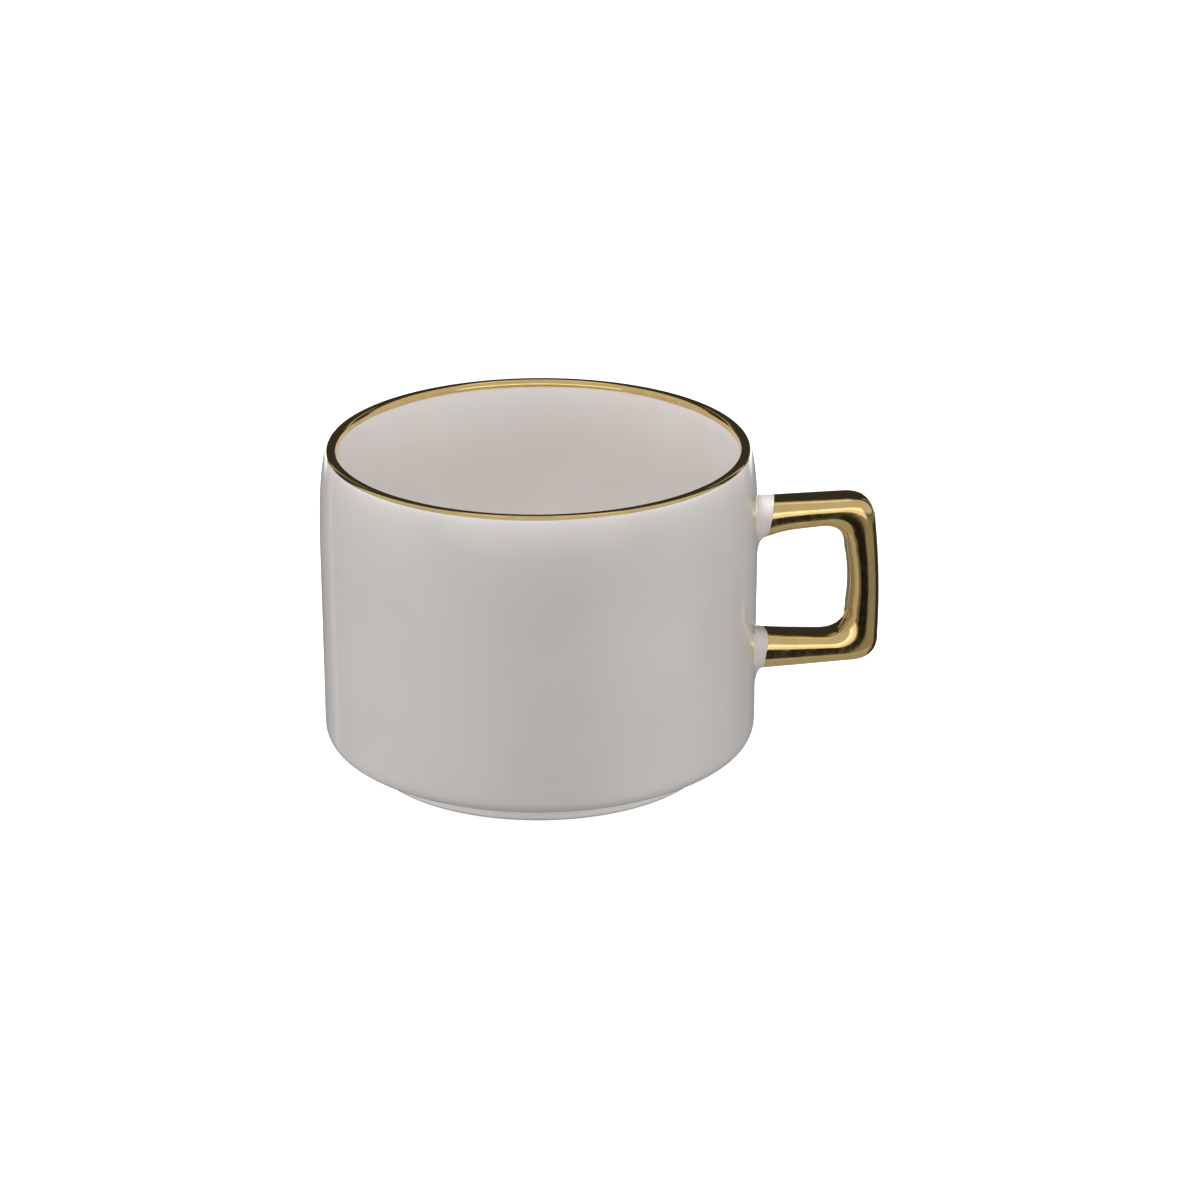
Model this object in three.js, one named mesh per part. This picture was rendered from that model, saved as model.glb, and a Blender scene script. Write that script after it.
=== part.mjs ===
// A low, straight-sided porcelain teacup with a squared loop handle. A bright gold line runs
// round the lip and a gold coat covers the handle between its two white roots.
// Millimetres, +Z up, the table at z = 0, and the handle on the +X side.
import * as THREE from "three";

// Driving dimensions. Radii are measured from the cup's own axis and heights from the table.
const CUP_HEIGHT = 62.8;
const BODY_RADIUS = 41.5; // the widest ring of the wall
const BODY_RADIUS_HEIGHT = 42;
const WALL_FOOT_RADIUS = 41.33; // where the wall turns into the rounded heel
const HEEL_HEIGHT = 8.2;
const HEEL_FULLNESS = [new THREE.Vector2(40.9, 4.4), new THREE.Vector2(41.3, 5.4)];

const LIP_RADIUS = 39; // the middle of the lip
const LIP_ROUND = 1.1; // half the lip's thickness, and its rounding
const LIP_TURN_IN = 10; // degrees that the wall leans in where it meets the lip
const SHOULDER_FULLNESS = [new THREE.Vector2(41.5, 50), new THREE.Vector2(41.4, 57.6)];

const INNER_RADIUS = 38.5; // the widest ring of the inside
const INNER_FOOT_RADIUS = 38.2;
const INNER_HEEL_HEIGHT = 12;
const INNER_HEEL_FULLNESS = [new THREE.Vector2(38.1, 6.9), new THREE.Vector2(35.2, 5.6)];
const FLOOR_RADIUS = 28; // the flat of the inside floor
const FLOOR_HEIGHT = 5.4;

const FOOT_HEIGHT = 2.2;
const FOOT_NECK_RADIUS = 32.6; // at the top of the ring, under the body
const FOOT_RADIUS = 33.4; // the ring's upright side, below its sloping shoulder
const FOOT_SIDE_HEIGHT = 1.1;
const FOOT_INNER_RADIUS = 30.2;
const FOOT_REST_OUTER = 33.05; // the flat ring that stands on the table
const FOOT_REST_INNER = 31;
const FOOT_EDGE = 0.3; // height of the softened edges beside that flat ring
const UNDERSIDE_DOME = 0.4; // rise of the underside at its centre

const GOLD_THICKNESS = 0.2;
const RIM_GOLD_ANGLE = 22; // degrees above the lip's outer side where the gold starts
const RIM_GOLD_DEPTH = 1.5; // how far the gold reaches down inside

// The handle's side view, as x from the cup's axis and z from the table.
const HANDLE_WIDTH = 7.8;
const HANDLE_SQUARENESS = 2.6; // power of the superellipse of its section
const ROOT_X = 42.8; // where the handle casting butts on its slip joints
const UPPER_ARM_TOP = { root: 49.15, corner: 48.95, swell: 0, goldX: 45.6 };
const UPPER_ARM_UNDERSIDE = { root: 42.25, corner: 43.25, swell: -1.15, goldX: 43.6 };
const LOWER_ARM_TOP = { root: 22.1, corner: 20.45, swell: 0.2, goldX: 44.4 };
const LOWER_ARM_UNDERSIDE = { root: 14.35, corner: 14.9, swell: 0, goldX: 43.3 };
const ARM_SWELL_REACH = 6.7; // length over which an arm swells towards its root
const GRIP_OUTSIDE = { top: 65.3, bottom: 66.7, bow: 0.45, radius: 5.1 };
const GRIP_INSIDE = { top: 59.8, bottom: 60.6, bow: 0.5, radius: 5.9 };

const SLIP_GAP = 0.15; // between the slip joint's seat and the wall's facets
const SLIP_FLARE = 1.8; // how far the joint's fillet spreads on the wall, above and beside the arm
const SLIP_FLARE_UNDER = 3.6; // and under it

const TURNED_SEGMENTS = 60;
const CURVE_STEPS = 6;
const SECTION_POINTS = 16;
const ARM_STEPS = 3;
const CORNER_STEPS = 6;
const GRIP_STEPS = 5;

const glaze = (color) => new THREE.MeshStandardMaterial({ color, roughness: 0.12, metalness: 0 });
const gold = () => new THREE.MeshStandardMaterial({ color: 0xd6ae62, roughness: 0.16, metalness: 1 });
const bisque = () => new THREE.MeshStandardMaterial({ color: 0xd9d3c9, roughness: 0.75, metalness: 0 });

// A ring or vessel turned about the cup's axis from its outline of (radius, height) points,
// which runs up the outside and down the inside.
function turned(outline) {
  const geometry = new THREE.LatheGeometry(outline, TURNED_SEGMENTS);
  geometry.rotateX(Math.PI / 2);
  return geometry;
}

function bezier(start, controls, end) {
  return new THREE.CubicBezierCurve(start, controls[0], controls[1], end).getPoints(CURVE_STEPS);
}

// A point of the lip's round, at an angle in degrees from its outer side and a depth under its skin.
function onLip(angle, depth) {
  const radians = THREE.MathUtils.degToRad(angle);
  const round = LIP_ROUND - depth;
  return new THREE.Vector2(
    LIP_RADIUS + round * Math.cos(radians),
    CUP_HEIGHT - LIP_ROUND + round * Math.sin(radians),
  );
}

// The lip from the gold's outer edge, over the top, to the gold's inner edge.
function lipOutline(depth) {
  const points = [];
  for (let i = 0; i <= 2 * CURVE_STEPS; i++) {
    points.push(onLip(THREE.MathUtils.lerp(RIM_GOLD_ANGLE, 180, i / (2 * CURVE_STEPS)), depth));
  }
  points.push(new THREE.Vector2(LIP_RADIUS - LIP_ROUND + depth, CUP_HEIGHT - RIM_GOLD_DEPTH));
  return points;
}

// The outside of the body, from the foot ring's neck up to the gold line.
function outsideOutline() {
  const neck = new THREE.Vector2(FOOT_NECK_RADIUS, FOOT_HEIGHT);
  const wallFoot = new THREE.Vector2(WALL_FOOT_RADIUS, HEEL_HEIGHT);
  const widest = new THREE.Vector2(BODY_RADIUS, BODY_RADIUS_HEIGHT);
  return [
    ...bezier(neck, HEEL_FULLNESS, wallFoot),
    widest,
    ...bezier(widest, SHOULDER_FULLNESS, onLip(LIP_TURN_IN, 0)).slice(1),
    onLip(RIM_GOLD_ANGLE, 0),
  ];
}

// The inside of the body, from the gold line down to the centre of the floor.
function insideOutline() {
  const top = new THREE.Vector2(LIP_RADIUS - LIP_ROUND, CUP_HEIGHT - RIM_GOLD_DEPTH);
  const widest = new THREE.Vector2(INNER_RADIUS, BODY_RADIUS_HEIGHT);
  const heel = new THREE.Vector2(INNER_FOOT_RADIUS, INNER_HEEL_HEIGHT);
  const floorEdge = new THREE.Vector2(FLOOR_RADIUS, FLOOR_HEIGHT);
  return [
    top,
    new THREE.Vector2((top.x + widest.x) / 2, (top.y * 2 + widest.y) / 3),
    widest,
    ...bezier(heel, INNER_HEEL_FULLNESS, floorEdge),
    new THREE.Vector2(0, FLOOR_HEIGHT),
  ];
}

function cupBody() {
  return turned([
    new THREE.Vector2(0, FOOT_HEIGHT + UNDERSIDE_DOME),
    new THREE.Vector2(FOOT_INNER_RADIUS, FOOT_HEIGHT),
    ...outsideOutline(),
    ...lipOutline(GOLD_THICKNESS),
    ...insideOutline(),
  ]);
}

function footRing() {
  return turned([
    new THREE.Vector2(FOOT_REST_INNER, 0),
    new THREE.Vector2(FOOT_REST_OUTER, 0),
    new THREE.Vector2(FOOT_RADIUS, FOOT_EDGE),
    new THREE.Vector2(FOOT_RADIUS, FOOT_SIDE_HEIGHT),
    new THREE.Vector2(FOOT_NECK_RADIUS, FOOT_HEIGHT),
    new THREE.Vector2(FOOT_INNER_RADIUS, FOOT_HEIGHT),
    new THREE.Vector2((FOOT_REST_INNER + FOOT_INNER_RADIUS) / 2, FOOT_EDGE),
    new THREE.Vector2(FOOT_REST_INNER, 0),
  ]);
}

function rimGoldBand() {
  const skin = lipOutline(0);
  return turned([...skin, ...lipOutline(GOLD_THICKNESS).reverse(), skin[0]]);
}

// The height of an arm's side at a distance from the cup's axis.
function armHeight(arm, cornerX, x) {
  const swollen = Math.max(0, 1 - (x - ROOT_X) / ARM_SWELL_REACH);
  return THREE.MathUtils.mapLinear(x, ROOT_X, cornerX, arm.root, arm.corner) + arm.swell * swollen ** 2;
}

function armSide(arm, cornerX, startX, endX) {
  const points = [];
  for (let i = 0; i <= ARM_STEPS; i++) {
    const x = THREE.MathUtils.lerp(startX, endX, i / ARM_STEPS);
    points.push(new THREE.Vector2(x, armHeight(arm, cornerX, x)));
  }
  return points;
}

// One side of the handle's side view, from its upper root round the grip to its lower root:
// the points of both sides pair up into stations.
function handleSide(upper, lower, grip) {
  const point = (x, y) => new THREE.Vector2(x, y);
  const upperCorner = point(grip.top, upper.corner);
  const lowerCorner = point(grip.bottom, lower.corner);
  const along = (from, to, distance) => to.clone().sub(from).setLength(distance).add(from);
  const turnIn = along(upperCorner, point(ROOT_X, upper.root), grip.radius);
  const gripTop = along(upperCorner, lowerCorner, grip.radius);
  const gripEnd = along(lowerCorner, upperCorner, grip.radius);
  const turnOut = along(lowerCorner, point(ROOT_X, lower.root), grip.radius);
  const gripMiddle = gripTop.clone().add(gripEnd).multiplyScalar(0.5);
  gripMiddle.x += 2 * grip.bow;
  return [
    point(ROOT_X, armHeight(upper, grip.top, ROOT_X)),
    ...armSide(upper, grip.top, upper.goldX, turnIn.x).slice(0, -1),
    ...new THREE.QuadraticBezierCurve(turnIn, upperCorner, gripTop).getPoints(CORNER_STEPS),
    ...new THREE.QuadraticBezierCurve(gripTop, gripMiddle, gripEnd).getPoints(GRIP_STEPS).slice(1, -1),
    ...new THREE.QuadraticBezierCurve(gripEnd, lowerCorner, turnOut).getPoints(CORNER_STEPS),
    ...armSide(lower, grip.bottom, turnOut.x, lower.goldX).slice(1),
    point(ROOT_X, armHeight(lower, grip.bottom, ROOT_X)),
  ];
}

const outerSide = handleSide(UPPER_ARM_TOP, LOWER_ARM_UNDERSIDE, GRIP_OUTSIDE);
const innerSide = handleSide(UPPER_ARM_UNDERSIDE, LOWER_ARM_TOP, GRIP_INSIDE);

// The handle's section at a station, a rounded rectangle between the two sides of its side view.
function sectionRing(station, depth) {
  const outer = outerSide[station];
  const inner = innerSide[station];
  const middle = outer.clone().add(inner).multiplyScalar(0.5);
  const spread = outer.clone().sub(inner);
  const halfHeight = spread.length() / 2 - depth;
  const halfWidth = HANDLE_WIDTH / 2 - depth;
  spread.normalize();
  const soften = (value) => Math.sign(value) * Math.abs(value) ** (2 / HANDLE_SQUARENESS);
  const ring = [];
  for (let i = 0; i < SECTION_POINTS; i++) {
    const angle = (2 * Math.PI * i) / SECTION_POINTS;
    const reach = halfHeight * soften(Math.cos(angle));
    ring.push(
      new THREE.Vector3(
        middle.x + spread.x * reach,
        halfWidth * soften(Math.sin(angle)),
        middle.y + spread.y * reach,
      ),
    );
  }
  return ring;
}

function ringCentre(ring) {
  const sum = new THREE.Vector3();
  ring.forEach((point) => sum.add(point));
  return sum.divideScalar(ring.length);
}

// A skin through the rings in order. Its ends are capped, or the last ring joins the first.
// Each of its four-sided cells is split along its shorter diagonal, so that two skins through the
// same rings fit face to face.
function loft(rings, endless) {
  const count = rings[0].length;
  const points = rings.flat();
  const faces = [];
  const spans = endless ? rings.length : rings.length - 1;
  for (let i = 0; i < spans; i++) {
    const here = i * count;
    const next = ((i + 1) % rings.length) * count;
    for (let k = 0; k < count; k++) {
      const after = (k + 1) % count;
      const [a, b, c, d] = [here + k, next + k, next + after, here + after];
      if (points[a].distanceTo(points[c]) < points[b].distanceTo(points[d])) {
        faces.push(a, b, c, a, c, d);
      } else {
        faces.push(a, b, d, b, c, d);
      }
    }
  }
  if (!endless) {
    const last = (rings.length - 1) * count;
    const start = points.push(ringCentre(rings[0])) - 1;
    const end = points.push(ringCentre(rings[rings.length - 1])) - 1;
    for (let k = 0; k < count; k++) {
      const after = (k + 1) % count;
      faces.push(start, k, after);
      faces.push(end, last + after, last + k);
    }
  }
  const geometry = new THREE.BufferGeometry().setFromPoints(points);
  geometry.setIndex(faces);
  geometry.computeVertexNormals();
  return geometry;
}

const lastStation = outerSide.length - 1;
const goldStations = [];
for (let station = 1; station < lastStation; station++) goldStations.push(station);

// White porcelain from root to root, a gold coat's depth smaller between the gold's edges.
function handleCasting() {
  return loft([
    sectionRing(0, 0),
    sectionRing(1, 0),
    ...goldStations.map((station) => sectionRing(station, GOLD_THICKNESS)),
    sectionRing(lastStation - 1, 0),
    sectionRing(lastStation, 0),
  ]);
}

function handleGoldCoat() {
  return loft(
    [
      ...goldStations.map((station) => sectionRing(station, 0)),
      ...goldStations.toReversed().map((station) => sectionRing(station, GOLD_THICKNESS)),
    ],
    true,
  );
}

// The radius of the body's outside at a height on its wall.
function wallRadiusAt(height) {
  const outline = outsideOutline();
  const above = outline.findIndex((point) => point.y > height);
  const [low, high] = [outline[above - 1], outline[above]];
  return THREE.MathUtils.mapLinear(height, low.y, high.y, low.x, high.x);
}

// The same point carried along X onto the seat that the slip joint has on the wall.
function onSeat(point) {
  const radius = wallRadiusAt(point.z) + SLIP_GAP;
  return new THREE.Vector3(Math.sqrt(radius ** 2 - point.y ** 2), point.y, point.z);
}

// Slip that holds a root on the wall: a pad with a fillet all round, from the casting's end to the wall.
function slipRings(collar) {
  const centre = ringCentre(collar);
  const spreadBy = (point, share) => {
    const outward = point.clone().sub(centre).normalize();
    const flare = THREE.MathUtils.lerp(SLIP_FLARE, SLIP_FLARE_UNDER, Math.max(0, -outward.z) ** 2);
    return point.clone().addScaledVector(outward, flare * share);
  };
  const fillet = [0.5, 0.8, 0.95].map((share) =>
    collar.map((point) => {
      const moved = spreadBy(point, 1 - Math.sqrt(1 - share ** 2));
      return moved.lerp(onSeat(moved), share);
    }),
  );
  const edge = collar.map((point) => onSeat(spreadBy(point, 1)));
  const pad = [0.7, 0.35].map((scale) =>
    edge.map((point) => onSeat(point.clone().lerp(centre, 1 - scale))),
  );
  return [collar, ...fillet, edge, ...pad];
}

function upperSlipJoint() {
  return loft(slipRings(sectionRing(0, 0)).reverse());
}

function lowerSlipJoint() {
  return loft(slipRings(sectionRing(lastStation, 0)));
}

function piece(name, geometry, material) {
  const mesh = new THREE.Mesh(geometry, material);
  mesh.name = name;
  return mesh;
}

const cup = new THREE.Group();
cup.add(
  piece("cup_body", cupBody(), glaze(0xd8d4d0)),
  piece("foot_ring", footRing(), bisque()),
  piece("rim_gold_band", rimGoldBand(), gold()),
  piece("handle_casting", handleCasting(), glaze(0xdad6d2)),
  piece("handle_gold_coat", handleGoldCoat(), gold()),
  piece("upper_slip_joint", upperSlipJoint(), glaze(0xdcd8d4)),
  piece("lower_slip_joint", lowerSlipJoint(), glaze(0xdcd8d4)),
);

// The origin is on the table under the middle of the cup and handle together.
const handleReach = Math.max(...outerSide.map((point) => point.x));
cup.position.x = (BODY_RADIUS - handleReach) / 2;

const teacup = new THREE.Group();
teacup.add(cup);

export default teacup;
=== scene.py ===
import math

import bpy
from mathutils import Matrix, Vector, noise


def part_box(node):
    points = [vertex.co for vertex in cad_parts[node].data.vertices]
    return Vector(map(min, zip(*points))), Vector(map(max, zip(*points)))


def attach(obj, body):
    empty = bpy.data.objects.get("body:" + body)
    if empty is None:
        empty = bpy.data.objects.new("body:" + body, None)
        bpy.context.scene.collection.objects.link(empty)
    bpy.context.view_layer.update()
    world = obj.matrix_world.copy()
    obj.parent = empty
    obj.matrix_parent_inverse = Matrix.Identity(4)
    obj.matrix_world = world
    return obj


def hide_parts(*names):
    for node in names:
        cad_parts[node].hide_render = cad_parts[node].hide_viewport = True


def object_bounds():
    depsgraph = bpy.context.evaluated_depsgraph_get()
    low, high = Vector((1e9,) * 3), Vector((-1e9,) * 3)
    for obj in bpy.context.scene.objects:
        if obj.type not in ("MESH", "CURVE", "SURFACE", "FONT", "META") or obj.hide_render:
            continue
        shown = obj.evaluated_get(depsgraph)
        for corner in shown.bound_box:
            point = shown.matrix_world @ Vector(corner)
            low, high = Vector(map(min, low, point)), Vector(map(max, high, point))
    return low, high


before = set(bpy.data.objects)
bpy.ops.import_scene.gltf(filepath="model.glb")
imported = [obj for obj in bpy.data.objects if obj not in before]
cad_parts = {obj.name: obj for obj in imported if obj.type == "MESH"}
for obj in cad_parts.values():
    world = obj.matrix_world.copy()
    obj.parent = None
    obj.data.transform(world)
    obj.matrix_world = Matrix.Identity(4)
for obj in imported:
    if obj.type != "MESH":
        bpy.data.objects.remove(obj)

MM = 0.001
cad_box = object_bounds()
body_low, body_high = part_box("cup_body")
AXIS_X = (body_low.x + body_high.x) / 2  # the cup's own axis
AXIS_Y = (body_low.y + body_high.y) / 2
CUP_HEIGHT = cad_box[1].z / MM
BODY_RADIUS = (body_high.x - body_low.x) / 2 / MM
foot_low, foot_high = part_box("foot_ring")
FOOT_RADIUS = (foot_high.x - foot_low.x) / 2 / MM
FOOT_HEIGHT = foot_high.z / MM

# The body's outside. Each "fullness" is the pair of points that pulls a curve out.
BODY_RADIUS_HEIGHT = 42.0
WALL_FOOT_RADIUS = 41.33  # where the wall turns into the rounded heel
HEEL_HEIGHT = 8.2
HEEL_FULLNESS = ((40.9, 4.4), (41.3, 5.4))
LIP_RADIUS = 39.0  # the middle of the lip
LIP_ROUND = 1.1  # half the lip's thickness, and its rounding
LIP_TURN_IN = 10  # degrees that the wall leans in where it meets the lip
SHOULDER_FULLNESS = ((41.5, 50.0), (41.4, 57.6))

# The body's inside.
INNER_RADIUS = 38.5
INNER_SHOULDER_FULLNESS = ((38.15, 55.5), (38.45, 48.0))
INNER_FOOT_RADIUS = 38.2
INNER_HEEL_HEIGHT = 12.0
INNER_HEEL_FULLNESS = ((38.1, 6.9), (35.2, 5.6))
FLOOR_RADIUS = 28.0  # the flat of the inside floor
FLOOR_HEIGHT = 5.4

FOOT_NECK_RADIUS = 32.6  # at the top of the ring, under the body
FOOT_SIDE_HEIGHT = 1.1  # the upright side, below the sloping shoulder
FOOT_INNER_RADIUS = 30.2
FOOT_REST_OUTER = 33.05  # the flat ring that stands on the table
FOOT_REST_INNER = 31.0
UNDERSIDE_DOME = 0.4

GOLD_SKIN = 0.05  # how far the gold stands over the glaze
GOLD_EDGE = 0.012  # how far the gold's skin has sunk at its painted edge
RIM_GOLD_ANGLE = 22  # degrees above the lip's outer side where the gold starts
RIM_GOLD_DEPTH = 1.5  # how far the gold reaches down inside
RIM_GOLD_FADE = 1.2  # height over which the inside comes out from under the gold

# The handle's side view, as distance from the cup's axis and height from the table.
HANDLE_WIDTH = 7.8
HANDLE_SQUARENESS = 2.6  # power of the superellipse of its section
ROOT_X = 42.8  # where the casting starts, just outside the wall
UPPER_ARM_TOP = dict(root=49.15, corner=48.95, swell=0, gold=45.6)
UPPER_ARM_UNDERSIDE = dict(root=42.25, corner=43.25, swell=-1.15, gold=43.6)
LOWER_ARM_TOP = dict(root=22.1, corner=20.45, swell=0.2, gold=44.4)
LOWER_ARM_UNDERSIDE = dict(root=14.35, corner=14.9, swell=0, gold=43.3)
ARM_SWELL_REACH = 6.7  # length over which an arm swells towards its root
GRIP_OUTSIDE = dict(top=65.3, bottom=66.7, bow=0.45, radius=5.1)
GRIP_INSIDE = dict(top=59.8, bottom=60.6, bow=0.5, radius=5.9)

# The slip round each root: its spread on the wall above and below the arm, and where it starts.
UPPER_SLIP = dict(above=2.6, below=5.4, collar=43.7)
LOWER_SLIP = dict(above=2.3, below=5.6, collar=43.4)
SLIP_FEATHER = ((0.9, 0.09), (0.55, 0.028), (0.25, 0.004))  # reach along the arm, depth under its skin

TURNED_SEGMENTS = 288
SECTION_POINTS = 72
WHITE_STEPS = 8  # along the white of each root
ARM_STEPS = 26
CORNER_STEPS = 22
GRIP_STEPS = 24
SLIP_STEPS = 16
WAVE_GAIN = 1.6  # brings Blender's noise to about -1 to 1


# ---------------------------------------------------------------- shapes

def lerp(a, b, t):
    return a + (b - a) * t


def smooth(t):
    t = min(1.0, max(0.0, t))
    return t * t * (3 - 2 * t)


def bezier(start, controls, end, steps):
    points = []
    corners = (start, *controls, end)
    for i in range(steps + 1):
        t = i / steps
        u = 1 - t
        weights = (u ** 3, 3 * u * u * t, 3 * u * t * t, t ** 3)
        points.append(tuple(sum(k * p[axis] for k, p in zip(weights, corners)) for axis in (0, 1)))
    return points


def quadratic(start, middle, end, steps):
    points = []
    for i in range(steps + 1):
        t = i / steps
        points.append(tuple(
            (1 - t) ** 2 * start[k] + 2 * t * (1 - t) * middle[k] + t * t * end[k] for k in (0, 1)
        ))
    return points


def between(start, end, share):
    return (lerp(start[0], end[0], share), lerp(start[1], end[1], share))


def line(start, end, steps):
    return [between(start, end, i / steps) for i in range(steps + 1)]


def in_metres(x, y, z):
    """A point in millimetres from the cup's axis and the table, in the scene's own units."""
    return (AXIS_X + x * MM, AXIS_Y + y * MM, z * MM)


def new_piece(name, verts, faces, material):
    mesh = bpy.data.meshes.new(name)
    mesh.from_pydata(verts, [], faces)
    mesh.update()
    mesh.shade_smooth()
    mesh.materials.append(material)
    piece = bpy.data.objects.new(name, mesh)
    bpy.context.scene.collection.objects.link(piece)
    return piece


def turned(name, outline_at, material):
    """A ring or vessel round the cup's axis. outline_at(angle) gives its (radius, height) points
    in a loop, up the outside and down the inside. A vessel's first and last points are on the axis,
    where all its rows share them."""
    verts, faces, rows = [], [], []
    for j in range(TURNED_SEGMENTS):
        angle = 2 * math.pi * j / TURNED_SEGMENTS
        outline = outline_at(angle)
        vessel = outline[0][0] == 0
        row = []
        for i, (radius, height) in enumerate(outline):
            if vessel and rows and i in (0, len(outline) - 1):
                row.append(rows[0][i])
            else:
                row.append(len(verts))
                verts.append(in_metres(radius * math.cos(angle), radius * math.sin(angle), height))
        rows.append(row)
    count = len(rows[0])
    spans = count - 1 if vessel else count
    for here, after in zip(rows, rows[1:] + rows[:1]):
        for i in range(spans):
            beside = (i + 1) % count
            corners = [here[i], after[i], after[beside], here[beside]]
            faces.append([v for n, v in enumerate(corners) if v not in corners[:n]])
    return new_piece(name, verts, faces, material)


def on_lip(angle, depth):
    """A point of the lip's round, at degrees up from its outer side and a depth under its skin."""
    radians = math.radians(angle)
    size = LIP_ROUND - depth
    return (LIP_RADIUS + size * math.cos(radians), CUP_HEIGHT - LIP_ROUND + size * math.sin(radians))


def wave(angle, seed, turns):
    """An irregular ripple between about -1 and 1 that closes on itself round a full turn."""
    place = Vector((math.cos(angle) * turns, math.sin(angle) * turns, seed))
    return noise.noise(place) * WAVE_GAIN


def body_underside(steps=16):
    shares = [i / steps for i in range(steps + 1)]
    return [(FOOT_INNER_RADIUS * t, FOOT_HEIGHT + UNDERSIDE_DOME * (1 - t ** 2)) for t in shares]


def body_outside():
    neck = (FOOT_NECK_RADIUS, FOOT_HEIGHT)
    wall_foot = (WALL_FOOT_RADIUS, HEEL_HEIGHT)
    widest = (BODY_RADIUS, BODY_RADIUS_HEIGHT)
    return [
        *bezier(neck, HEEL_FULLNESS, wall_foot, steps=30),
        *line(wall_foot, widest, steps=12)[1:],
        *bezier(widest, SHOULDER_FULLNESS, on_lip(LIP_TURN_IN, 0), steps=26)[1:],
    ]


def body_lip(steps=24, fade=8):
    """The lip's round, which sinks under the gold over the first degrees of fade."""
    angles = [lerp(LIP_TURN_IN, 180, i / steps) for i in range(1, steps + 1)]
    return [on_lip(angle, GOLD_SKIN * smooth((angle - LIP_TURN_IN) / fade)) for angle in angles]


def body_inside():
    inner_lip = LIP_RADIUS - LIP_ROUND
    gold_end = CUP_HEIGHT - RIM_GOLD_DEPTH
    widest = (INNER_RADIUS, BODY_RADIUS_HEIGHT)
    heel = (INNER_FOOT_RADIUS, INNER_HEEL_HEIGHT)
    floor_edge = (FLOOR_RADIUS, FLOOR_HEIGHT)
    return [
        (inner_lip + GOLD_SKIN, gold_end),
        *bezier((inner_lip + 0.02, gold_end - RIM_GOLD_FADE), INNER_SHOULDER_FULLNESS, widest, steps=14),
        *line(widest, heel, steps=10)[1:],
        *bezier(heel, INNER_HEEL_FULLNESS, floor_edge, steps=26)[1:],
        *line(floor_edge, (0, FLOOR_HEIGHT), steps=14)[1:],
    ]


def cup_body(material):
    outline = [*body_underside(), *body_outside(), *body_lip(), *body_inside()]
    return turned("porcelain_body", lambda angle: outline, material)


def foot_ring(material):
    """The foot ring: a sloping shoulder, an upright side, and glaze that ends in a wavy step
    above the bare ring that stands on the table."""
    shoulder = quadratic(
        (FOOT_NECK_RADIUS + 0.1, FOOT_HEIGHT - 0.1),
        (FOOT_RADIUS - 0.02, FOOT_SIDE_HEIGHT + 0.15),
        (FOOT_RADIUS, FOOT_SIDE_HEIGHT - 0.35),
        steps=7,
    )

    def outline(angle):
        glaze_out = 0.36 + 0.05 * wave(angle, 3.1, 2.2)
        glaze_in = 0.50 + 0.08 * wave(angle, 7.7, 2.2)
        from_outside = [
            (FOOT_NECK_RADIUS - 0.1, FOOT_HEIGHT + 0.05),
            *shoulder,
            (FOOT_RADIUS, glaze_out + 0.10),
            (FOOT_RADIUS - 0.02, glaze_out + 0.03),
            (FOOT_RADIUS - 0.07, glaze_out),
            (FOOT_RADIUS - 0.09, glaze_out - 0.08),
            (FOOT_RADIUS - 0.16, 0.13),
            (FOOT_RADIUS - 0.25, 0.04),
            (FOOT_REST_OUTER, 0.0),
            (FOOT_REST_INNER, 0.0),
            (FOOT_INNER_RADIUS + 0.68, 0.05),
            (FOOT_INNER_RADIUS + 0.54, 0.17),
            (FOOT_INNER_RADIUS + 0.44, glaze_in - 0.10),
            (FOOT_INNER_RADIUS + 0.40, glaze_in),
            (FOOT_INNER_RADIUS + 0.32, glaze_in + 0.05),
            (FOOT_INNER_RADIUS + 0.28, glaze_in + 0.14),
            (FOOT_INNER_RADIUS + 0.12, lerp(FOOT_HEIGHT, glaze_in, 0.5)),
            (FOOT_INNER_RADIUS - 0.03, FOOT_HEIGHT - 0.15),
            (FOOT_INNER_RADIUS - 0.15, FOOT_HEIGHT + 0.05),
        ]
        return from_outside[::-1]

    return turned("glazed_foot_ring", outline, material)


def rim_gold(material):
    """A film over the lip, whose painted edges waver round the cup, and its back in the porcelain."""
    inner = LIP_RADIUS - LIP_ROUND
    tuck = GOLD_SKIN * 1.3  # the film's edges go just under the glaze

    def outline(angle):
        start = RIM_GOLD_ANGLE + 2.2 * wave(angle, 1.3, 1.7) + 0.8 * wave(angle, 5.9, 7.0)
        stray = 0.10 * wave(angle, 2.4, 1.7) + 0.04 * wave(angle, 8.2, 7.0)
        end = CUP_HEIGHT - RIM_GOLD_DEPTH - stray
        return [
            on_lip(start - 1.5, tuck),
            on_lip(start, GOLD_EDGE),
            *(on_lip(lerp(start + 3, 180, i / 24), 0) for i in range(25)),
            (inner, lerp(CUP_HEIGHT - LIP_ROUND, end, 0.6)),
            (inner + GOLD_EDGE, end),
            (inner + tuck, end - 0.05),
            *(on_lip(lerp(180, start, i / 12), GOLD_SKIN * 2.5) for i in range(13)),
        ]

    return turned("rim_gold_line", outline, material)


# ---------------------------------------------------------------- the handle

def toward(start, end, distance):
    return between(start, end, distance / math.dist(start, end))


def arm_height(arm, corner_x, x):
    """The height of an arm's side at a distance from the cup's axis."""
    swollen = max(0, 1 - (x - ROOT_X) / ARM_SWELL_REACH)
    return lerp(arm["root"], arm["corner"], (x - ROOT_X) / (corner_x - ROOT_X)) + arm["swell"] * swollen ** 2


def arm_side(arm, corner_x, start_x, end_x, steps):
    places = [lerp(start_x, end_x, i / steps) for i in range(steps + 1)]
    return [(x, arm_height(arm, corner_x, x)) for x in places]


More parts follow.
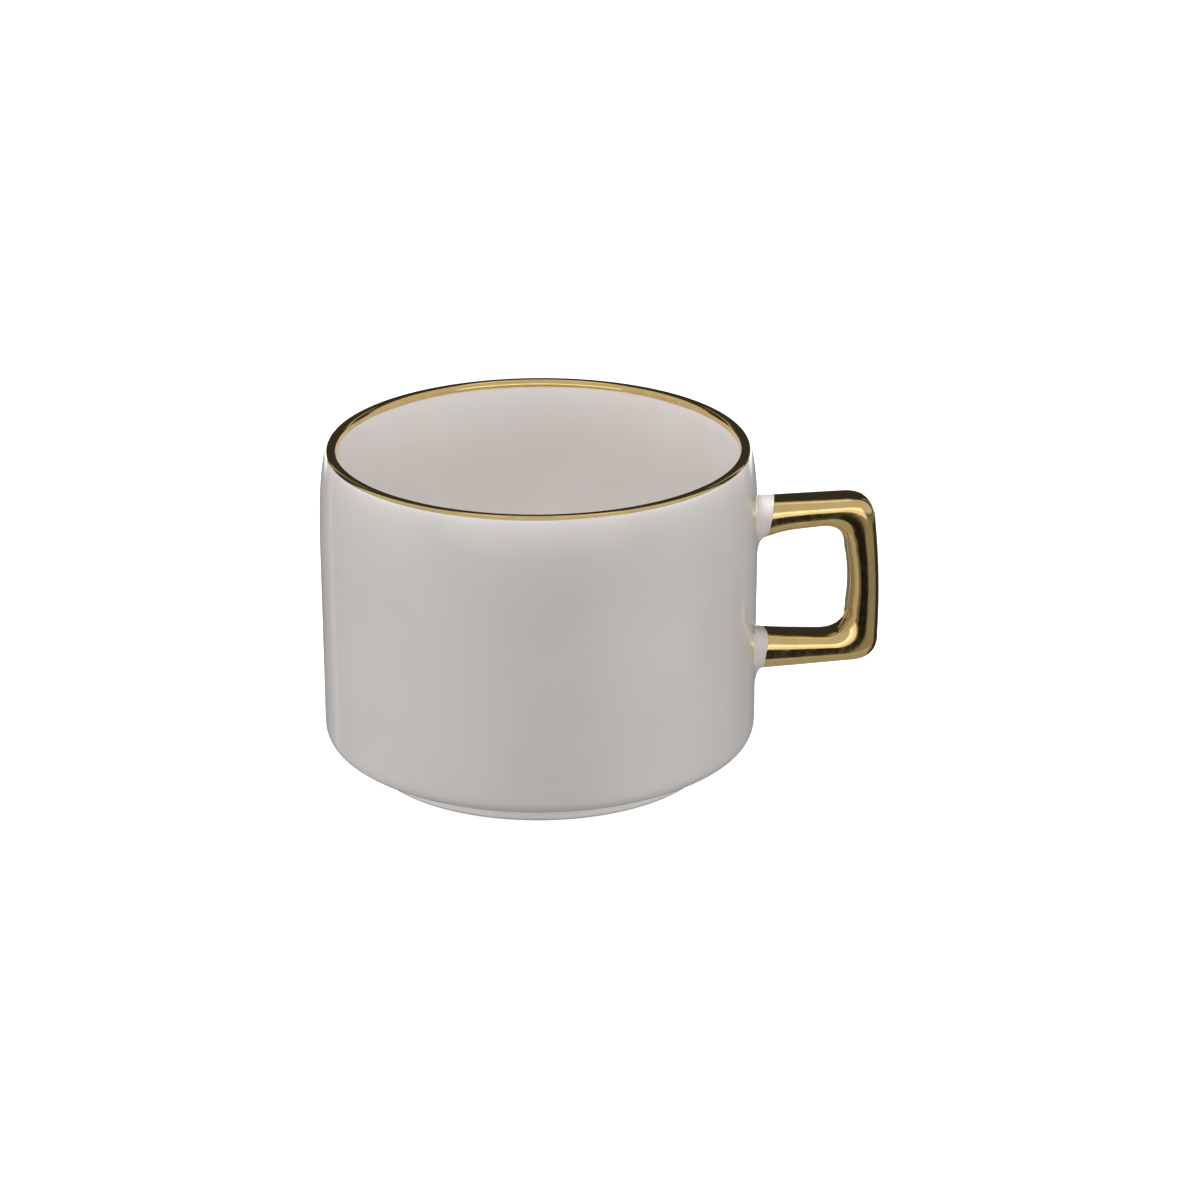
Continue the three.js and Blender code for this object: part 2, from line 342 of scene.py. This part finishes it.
def handle_side(upper, lower, grip):
    """One side of the handle's side view, from its upper root round the grip to its lower root."""
    upper_corner, lower_corner = (grip["top"], upper["corner"]), (grip["bottom"], lower["corner"])
    turn_in = toward(upper_corner, (ROOT_X, upper["root"]), grip["radius"])
    grip_top = toward(upper_corner, lower_corner, grip["radius"])
    grip_end = toward(lower_corner, upper_corner, grip["radius"])
    turn_out = toward(lower_corner, (ROOT_X, lower["root"]), grip["radius"])
    bowed = ((grip_top[0] + grip_end[0]) / 2 + 2 * grip["bow"], (grip_top[1] + grip_end[1]) / 2)
    return [
        *arm_side(upper, grip["top"], ROOT_X, upper["gold"], WHITE_STEPS),
        *arm_side(upper, grip["top"], upper["gold"], turn_in[0], ARM_STEPS)[1:-1],
        *quadratic(turn_in, upper_corner, grip_top, CORNER_STEPS),
        *quadratic(grip_top, bowed, grip_end, GRIP_STEPS)[1:-1],
        *quadratic(grip_end, lower_corner, turn_out, CORNER_STEPS),
        *arm_side(lower, grip["bottom"], turn_out[0], lower["gold"], ARM_STEPS)[1:],
        *arm_side(lower, grip["bottom"], lower["gold"], ROOT_X, WHITE_STEPS)[1:],
    ]


OUTER_SIDE = handle_side(UPPER_ARM_TOP, LOWER_ARM_UNDERSIDE, GRIP_OUTSIDE)
INNER_SIDE = handle_side(UPPER_ARM_UNDERSIDE, LOWER_ARM_TOP, GRIP_INSIDE)
LAST_STATION = len(OUTER_SIDE) - 1
FIRST_GOLD, LAST_GOLD = WHITE_STEPS, LAST_STATION - WHITE_STEPS
RING_ANGLES = [2 * math.pi * k / SECTION_POINTS for k in range(SECTION_POINTS)]


def side_point(side, station):
    """A point of a side view at a station, which may lie between two of its points."""
    low = min(int(station), LAST_STATION - 1)
    return between(side[low], side[low + 1], station - low)


def soften(value):
    return math.copysign(abs(value) ** (2 / HANDLE_SQUARENESS), value)


def section_point(outer, inner, angle, depth):
    """A point of the handle's rounded section between the two sides of its side view, in mm."""
    spread = (outer[0] - inner[0], outer[1] - inner[1])
    length = math.hypot(*spread)
    reach = (length / 2 - depth) * soften(math.cos(angle)) / length
    return (
        (outer[0] + inner[0]) / 2 + spread[0] * reach,
        (HANDLE_WIDTH / 2 - depth) * soften(math.sin(angle)),
        (outer[1] + inner[1]) / 2 + spread[1] * reach,
    )


def on_handle(station, angle, depth):
    return section_point(side_point(OUTER_SIDE, station), side_point(INNER_SIDE, station), angle, depth)


def lofted(name, rings, endless, material):
    """A skin through rings of points in mm. Its ends are closed, or the last ring joins the first."""
    count = len(rings[0])
    verts = [in_metres(*point) for ring in rings for point in ring]
    faces = []
    for i in range(len(rings) if endless else len(rings) - 1):
        here, after = i * count, (i + 1) % len(rings) * count
        for k in range(count):
            side = (k + 1) % count
            faces.append((here + k, after + k, after + side, here + side))
    if not endless:
        faces.append(tuple(range(count)))
        faces.append(tuple(reversed(range(len(verts) - count, len(verts)))))
    return new_piece(name, verts, faces, material)


def gold_edge(angle, seed):
    """Stations by which the painted edge of the gold strays, round the section."""
    broad, fine = wave(angle, seed, 0.9), wave(angle, seed + 4, 2.5)
    return 0.9 * broad + 0.35 * fine - abs(math.sin(angle)) ** 3


def handle_casting(material):
    """White porcelain from root to root, which sinks under the gold over three stations."""
    rings = []
    for station in range(LAST_STATION + 1):
        past_edge = min(station - FIRST_GOLD, LAST_GOLD - station)
        depth = 0.02 + GOLD_SKIN * smooth((past_edge + 3) / 3)
        rings.append([on_handle(station, angle, depth) for angle in RING_ANGLES])
    return lofted("handle_porcelain", rings, False, material)


def handle_gold(material):
    """A film along the handle and its back in the porcelain, as one closed skin."""
    tuck, reach = GOLD_SKIN * 1.5, 10  # reach: stations over which the painted edge's straying fades
    film = [
        (FIRST_GOLD - 0.25, tuck),
        (FIRST_GOLD, GOLD_EDGE),
        (FIRST_GOLD + 0.4, 0),
        *((station, 0) for station in range(FIRST_GOLD + 1, LAST_GOLD)),
        (LAST_GOLD - 0.4, 0),
        (LAST_GOLD, GOLD_EDGE),
        (LAST_GOLD + 0.25, tuck),
    ]
    back = [(station, GOLD_SKIN * 2.5) for station in range(LAST_GOLD, FIRST_GOLD - 1, -3)]

    def strayed(station, angle):
        near_upper = smooth(1 - (station - FIRST_GOLD) / reach)
        near_lower = smooth(1 - (LAST_GOLD - station) / reach)
        return station + near_upper * gold_edge(angle, 2.0) - near_lower * gold_edge(angle, 6.0)

    rings = [
        [on_handle(strayed(station, angle), angle, depth) for angle in RING_ANGLES]
        for station, depth in film + back
    ]
    return lofted("handle_gold_coat_skin", rings, True, material)


def wall_radius(height):
    """The radius of the wall's outside at a height above the heel."""
    if height < BODY_RADIUS_HEIGHT:
        share = (height - HEEL_HEIGHT) / (BODY_RADIUS_HEIGHT - HEEL_HEIGHT)
        return lerp(WALL_FOOT_RADIUS, BODY_RADIUS, share)
    outline = bezier((BODY_RADIUS, BODY_RADIUS_HEIGHT), SHOULDER_FULLNESS, on_lip(LIP_TURN_IN, 0), 40)
    above = next(i for i, p in enumerate(outline) if p[1] > height)
    low, high = outline[above - 1], outline[above]
    return lerp(low[0], high[0], (height - low[1]) / (high[1] - low[1]))


def on_wall(y, z, depth):
    return (math.sqrt(wall_radius(z) ** 2 - y ** 2) - depth, y, z)


def middle_height(ring):
    return sum(z for x, y, z in ring) / len(ring)


def outward(ring, k):
    """The way out of a ring across the arm at its point k, as (y, z)."""
    before, after = ring[k - 1], ring[(k + 1) % len(ring)]
    along = Vector((after[1] - before[1], after[2] - before[2]))
    away = Vector((along.y, -along.x)).normalized()
    if away.dot(Vector((ring[k][1], ring[k][2] - middle_height(ring)))) < 0:
        away.negate()
    return away


def slip_joint(name, top_arm, top_corner, under_arm, under_corner, slip, material):
    """The fillet of slip from one of the handle's arms out on to the wall."""
    def arm_section(x, depth):
        top = (x, arm_height(top_arm, top_corner, x))
        under = (x, arm_height(under_arm, under_corner, x))
        return [section_point(top, under, angle, depth) for angle in RING_ANGLES]

    collar = arm_section(slip["collar"], 0)
    ways = [outward(collar, k) for k in range(len(collar))]

    def fillet_ring(turn):
        """A ring part of the way round the fillet's quarter turn from the arm to the wall."""
        ring = []
        for (x, y, z), away in zip(collar, ways):
            flare = lerp(slip["above"], slip["below"], smooth(0.5 - 0.75 * away.y))
            out = flare * (1 - math.cos(turn))
            wall = on_wall(y + away.x * out, z + away.y * out, 0.02)
            ring.append((lerp(x, wall[0], math.sin(turn)), *wall[1:]))
        return ring

    feather = [arm_section(slip["collar"] + reach, depth) for reach, depth in SLIP_FEATHER]
    fillet = [fillet_ring(math.pi / 2 * i / SLIP_STEPS) for i in range(SLIP_STEPS + 1)]
    edge = fillet[-1]
    middle = middle_height(edge)
    seat = [(x - 0.35, y * 0.97, lerp(middle, z, 0.97)) for x, y, z in edge]
    return lofted(name, [*feather, *fillet, seat][::-1], False, material)


def upper_slip_joint(material):
    return slip_joint(
        "upper_slip_fillet", UPPER_ARM_TOP, GRIP_OUTSIDE["top"], UPPER_ARM_UNDERSIDE, GRIP_INSIDE["top"],
        UPPER_SLIP, material,
    )


def lower_slip_joint(material):
    return slip_joint(
        "lower_slip_fillet", LOWER_ARM_TOP, GRIP_INSIDE["bottom"], LOWER_ARM_UNDERSIDE,
        GRIP_OUTSIDE["bottom"], LOWER_SLIP, material,
    )


# ---------------------------------------------------------------- materials

PORCELAIN = (0.84, 0.818, 0.806)
WARMER = (0.985, 0.965, 0.945)
COOLER = (1.01, 1.015, 1.02)
KILN_SPECK = (0.66, 0.62, 0.58)
# the foot ring's glaze, lighter than the body's glaze: painted light that brightens the foot ring where the
# heel shades it
FOOT_GLAZE_PAINTED_LIGHTER = (0.97, 0.955, 0.94)
BISQUE = ((0.66, 0.60, 0.53), (0.80, 0.76, 0.70))
GOLD = ((0.89, 0.65, 0.27), (0.95, 0.73, 0.34))
FOOT_GLAZE_END = (0.00050, 0.00058)  # heights between which the foot's glaze thins out
FOOT_GLAZE_STRAY = 0.00018


def shader(name):
    material = bpy.data.materials.new(name)
    material.use_nodes = True
    tree = material.node_tree
    return material, tree, tree.nodes["Principled BSDF"]


def node(tree, kind, links=(), **values):
    """A node whose values are its own settings or, failing that, its sockets' defaults."""
    made = tree.nodes.new(kind)
    for key, value in values.items():
        if hasattr(made, key):
            setattr(made, key, value)
        else:
            made.inputs[key.replace("_", " ")].default_value = value
    for socket, source in links:
        tree.links.new(source, made.inputs[socket])
    return made


def math_node(tree, operation, *values):
    """A Math node on numbers and on other nodes' outputs."""
    made = node(tree, "ShaderNodeMath", operation=operation)
    for socket, value in zip(made.inputs, values):
        if isinstance(value, (int, float)):
            socket.default_value = value
        else:
            tree.links.new(value, socket)
    return made.outputs[0]


def object_noise(tree, scale, detail, stretch=(1, 1, 1)):
    """Noise laid out in the object's own space; the scale is in cells a metre."""
    place = node(tree, "ShaderNodeTexCoord").outputs["Object"]
    mapping = node(tree, "ShaderNodeMapping", [("Vector", place)], Scale=stretch)
    made = node(
        tree, "ShaderNodeTexNoise", [("Vector", mapping.outputs["Vector"])], Scale=scale, Detail=detail
    )
    return made.outputs["Fac"]


def spread(tree, source, low, high, to_low=0.0, to_high=1.0):
    made = node(
        tree, "ShaderNodeMapRange", [("Value", source)],
        From_Min=low, From_Max=high, To_Min=to_low, To_Max=to_high,
    )
    return made.outputs["Result"]


def mixed(tree, factor, a, b):
    """A mix of two colours, each of them a plain colour or another node's output."""
    made = node(tree, "ShaderNodeMix", [(0, factor)], data_type="RGBA")
    colours = [socket for socket in made.inputs if socket.type == "RGBA"]
    for socket, value in zip(colours, (a, b)):
        if isinstance(value, tuple):
            socket.default_value = (*value, 1)
        else:
            tree.links.new(value, socket)
    return next(socket for socket in made.outputs if socket.type == "RGBA")


def bump(tree, height, strength, distance):
    made = node(tree, "ShaderNodeBump", [("Height", height)], Strength=strength, Distance=distance)
    return made.outputs["Normal"]


def surface(tree, principled, colour, roughness, normal):
    tree.links.new(colour, principled.inputs["Base Color"])
    tree.links.new(roughness, principled.inputs["Roughness"])
    tree.links.new(normal, principled.inputs["Normal"])


def tinted(colour, tint):
    return tuple(c * k for c, k in zip(colour, tint))


def glazed_porcelain(name):
    """Glaze with faint clouds, a few kiln specks and a slow ripple."""
    material, tree, principled = shader(name)
    clouds = spread(tree, object_noise(tree, 45, 4), 0.35, 0.65)
    body = mixed(tree, clouds, tinted(PORCELAIN, WARMER), tinted(PORCELAIN, COOLER))
    specks = spread(tree, object_noise(tree, 2600, 1), 0.80, 0.84)
    ripple = object_noise(tree, 70, 2, stretch=(1, 1, 0.4))
    surface(
        tree, principled,
        mixed(tree, specks, body, KILN_SPECK),
        spread(tree, object_noise(tree, 160, 3), 0.3, 0.7, 0.10, 0.17),
        bump(tree, ripple, 0.25, 0.0004),
    )
    principled.inputs["IOR"].default_value = 1.5
    return material


def bare_foot():
    """Glaze that ends raggedly just above the table, and the grainy bare ring under it. The glaze is painted
    lighter than the body's: painted light on the foot ring.
    """
    material, tree, principled = shader("bare_porcelain_foot")
    place = node(tree, "ShaderNodeTexCoord").outputs["Object"]
    height = node(tree, "ShaderNodeSeparateXYZ", [("Vector", place)]).outputs["Z"]
    ragged = math_node(tree, "MULTIPLY_ADD", object_noise(tree, 220, 3), FOOT_GLAZE_STRAY, height)
    glazed = spread(tree, ragged, *FOOT_GLAZE_END)
    grain = spread(tree, object_noise(tree, 2600, 5), 0.3, 0.7)
    surface(
        tree, principled,
        # the glazed part takes the lighter foot glaze, which is painted light
        mixed(tree, glazed, mixed(tree, grain, *BISQUE), FOOT_GLAZE_PAINTED_LIGHTER),
        spread(tree, glazed, 0, 1, 0.72, 0.13),
        bump(tree, object_noise(tree, 3500, 4), 0.3, 0.00006),
    )
    return material


def bright_gold(name):
    """Fired gold, with an uneven tone and uneven burnishing."""
    material, tree, principled = shader(name)
    tone = spread(tree, object_noise(tree, 260, 4), 0.3, 0.7)
    surface(
        tree, principled,
        mixed(tree, tone, *GOLD),
        spread(tree, object_noise(tree, 900, 4), 0.3, 0.75, 0.07, 0.17),
        bump(tree, object_noise(tree, 420, 3), 0.22, 0.0001),
    )
    principled.inputs["Metallic"].default_value = 1.0
    return material


# ---------------------------------------------------------------- the cup

def join_up(piece, cad_node):
    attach(piece, "root")
    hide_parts(cad_node)


def build_cup():
    slip_glaze = glazed_porcelain("slip_glaze")
    join_up(cup_body(glazed_porcelain("body_glaze")), "cup_body")
    join_up(foot_ring(bare_foot()), "foot_ring")
    join_up(rim_gold(bright_gold("rim_gold")), "rim_gold_band")
    join_up(handle_casting(glazed_porcelain("handle_glaze")), "handle_casting")
    join_up(handle_gold(bright_gold("handle_gold")), "handle_gold_coat")
    join_up(upper_slip_joint(slip_glaze), "upper_slip_joint")
    join_up(lower_slip_joint(slip_glaze), "lower_slip_joint")


# ---------------------------------------------------------------- studio

# Azimuths of lights count from the camera's side, in degrees, and elevations up from level.
CAMERA_AZIMUTH = -10.5
CAMERA_ELEVATION = 21.47
CAMERA_DISTANCE = 0.75
CAMERA_LENS = 117.8
FRAMING = Vector((-0.0012, -0.0024, -0.0002))  # aim beside the middle of the cup's box

TABLE_HALF_SIDE = 4.0
TABLE_COLOUR = (0.85, 0.85, 0.85, 1)
TABLE_GLOW = 0.80  # brings the table to white where the camera sees it
TABLE_LIGHT = 0.25  # what the table throws on the cup
BACKGROUND = 1.05

HORIZON = (-0.06, 0.0)  # upward share of a direction, from below the table's edge to level
LIGHT_BELOW, LIGHT_ABOVE = 0.17, 0.035
LIGHT_TINT = (1.0, 0.985, 0.97)
PANELS = (
    # azimuth, half width, low, high, softness, strength
    (0, 110, 4, 90, 5, 0.50),
    (180, 100, 71, 90, 4, 0.50),
    (0, 46, -9, 15, 3, 0.80),
    (0, 180, -90, -44, 8, 0.18),
    (52, 24, -45, -14, 10, 0.08),
    (-139, 2, -45, 38, 3, 0.3),
    (136, 2, -20, 38, 3, 0.45),
    (163, 11, -13, -7, 3, 2.0),
    (-163, 11, -13, -7, 3, 2.0),
)
SHADES = (
    # the same, for what keeps light away; the strength is the share that it takes
    (4, 22, -37, -13, 3, 0.93),
    (118, 22, -50, -16, 6, 0.85),
)
LAMPS = (
    # name, azimuth, elevation, distance and width in metres, power
    ("overhead_lamp", 0, 84, 0.7, 0.45, 0.5),
    ("mouth_lamp", 0, 88, 0.30, 0.06, 0.48),
    ("left_lamp", -82, 5, 0.7, 0.4, 1.6),
    ("right_lamp", 76, 5, 0.7, 0.4, 1.15),
)
LAMP_COLOUR = (1.0, 0.985, 0.975)


def direction(azimuth, elevation):
    a, e = math.radians(azimuth), math.radians(elevation)
    return Vector((math.sin(a) * math.cos(e), -math.cos(a) * math.cos(e), math.sin(e)))


def put_in_scene(name, data, middle, away, distance):
    """An object that looks at a middle from a distance."""
    made = bpy.data.objects.new(name, data)
    bpy.context.scene.collection.objects.link(made)
    made.location = middle + away * distance
    made.rotation_mode = "QUATERNION"
    made.rotation_quaternion = (-away).to_track_quat("-Z", "Y")
    return made


def camera():
    data = bpy.data.cameras.new("camera")
    data.sensor_width = 36
    data.lens = CAMERA_LENS
    data.clip_start = 0.05
    middle = (cad_box[0] + cad_box[1]) / 2 + FRAMING
    away = direction(CAMERA_AZIMUTH, CAMERA_ELEVATION)
    bpy.context.scene.camera = put_in_scene("camera", data, middle, away, CAMERA_DISTANCE)


def white_table():
    material = bpy.data.materials.new("white_table")
    material.use_nodes = True
    tree = material.node_tree
    tree.nodes.clear()
    seen = node(tree, "ShaderNodeLightPath").outputs["Is Camera Ray"]
    dim = node(tree, "ShaderNodeEmission", Color=(1.0, 0.99, 0.98, 1), Strength=TABLE_LIGHT)
    pale = node(tree, "ShaderNodeBsdfDiffuse", Color=TABLE_COLOUR)
    glow = node(tree, "ShaderNodeEmission", Strength=TABLE_GLOW)
    lit = node(tree, "ShaderNodeAddShader", [(0, pale.outputs[0]), (1, glow.outputs[0])])
    both = node(tree, "ShaderNodeMixShader", [(0, seen), (1, dim.outputs[0]), (2, lit.outputs[0])])
    node(tree, "ShaderNodeOutputMaterial", [("Surface", both.outputs[0])])
    return material


def floor():
    side = TABLE_HALF_SIDE
    corners = [(-side, -side, 0), (side, -side, 0), (side, side, 0), (-side, side, 0)]
    mesh = bpy.data.meshes.new("floor")
    mesh.from_pydata(corners, [], [(0, 1, 2, 3)])
    mesh.materials.append(white_table())
    made = bpy.data.objects.new("floor", mesh)
    bpy.context.scene.collection.objects.link(made)
    made.visible_glossy = False


def panel(tree, view, azimuth, half_width, low, high, soft, strength):
    """A soft-edged light panel round an azimuth, between two elevations."""
    x, y, z = view
    a = math.radians(CAMERA_AZIMUTH + azimuth)

    def turned_share(operation, x_share, y_share):
        along_x = math_node(tree, "MULTIPLY", x, x_share)
        return math_node(tree, operation, along_x, math_node(tree, "MULTIPLY", y, y_share))

    sideways = turned_share("ADD", math.cos(a), math.sin(a))
    forward = turned_share("SUBTRACT", math.sin(a), math.cos(a))
    turn = math_node(tree, "ABSOLUTE", math_node(tree, "ARCTAN2", sideways, forward))
    lift = math_node(tree, "ARCSINE", z)
    across = spread(tree, turn, math.radians(half_width + soft), math.radians(half_width))
    above = spread(tree, lift, math.radians(low - soft), math.radians(low))
    below = spread(tree, lift, math.radians(high + soft), math.radians(high))
    inside = math_node(tree, "MULTIPLY", across, math_node(tree, "MULTIPLY", above, below))
    return math_node(tree, "MULTIPLY", inside, strength)


def studio_light():
    """What the cup mirrors. The camera itself sees a plain white background."""
    world = bpy.data.worlds.new("studio")
    bpy.context.scene.world = world
    world.use_nodes = True
    tree = world.node_tree
    tree.nodes.clear()
    place = node(tree, "ShaderNodeTexCoord").outputs["Generated"]
    split = node(tree, "ShaderNodeSeparateXYZ", [("Vector", place)])
    view = [split.outputs[axis] for axis in "XYZ"]
    light = spread(tree, view[2], *HORIZON, LIGHT_BELOW, LIGHT_ABOVE)
    for lit in PANELS:
        light = math_node(tree, "ADD", light, panel(tree, view, *lit))
    for shade in SHADES:
        left = math_node(tree, "SUBTRACT", 1.0, panel(tree, view, *shade))
        light = math_node(tree, "MULTIPLY", light, left)
    tint = node(tree, "ShaderNodeCombineColor")
    for socket, share in zip(tint.inputs, LIGHT_TINT):
        tree.links.new(math_node(tree, "MULTIPLY", light, share), socket)
    around = node(tree, "ShaderNodeBackground", [("Color", tint.outputs[0])])
    behind = node(tree, "ShaderNodeBackground", Color=(1, 1, 1, 1), Strength=BACKGROUND)
    seen = node(tree, "ShaderNodeLightPath").outputs["Is Camera Ray"]
    both = node(tree, "ShaderNodeMixShader", [(0, seen), (1, around.outputs[0]), (2, behind.outputs[0])])
    node(tree, "ShaderNodeOutputWorld", [("Surface", both.outputs[0])])


def soft_lamp(name, azimuth, elevation, distance, width, power):
    """A broad lamp that lights the cup but isn't mirrored in it."""
    data = bpy.data.lights.new(name, "AREA")
    data.shape = "DISK"
    data.size = width
    data.energy = power
    data.color = LAMP_COLOUR
    away = direction(CAMERA_AZIMUTH + azimuth, elevation)
    made = put_in_scene(name, data, (body_low + body_high) / 2, away, distance)
    made.visible_camera = False
    made.visible_glossy = False


build_cup()
camera()
floor()
studio_light()
for lamp in LAMPS:
    soft_lamp(*lamp)
bpy.context.scene.view_settings.view_transform = "Standard"
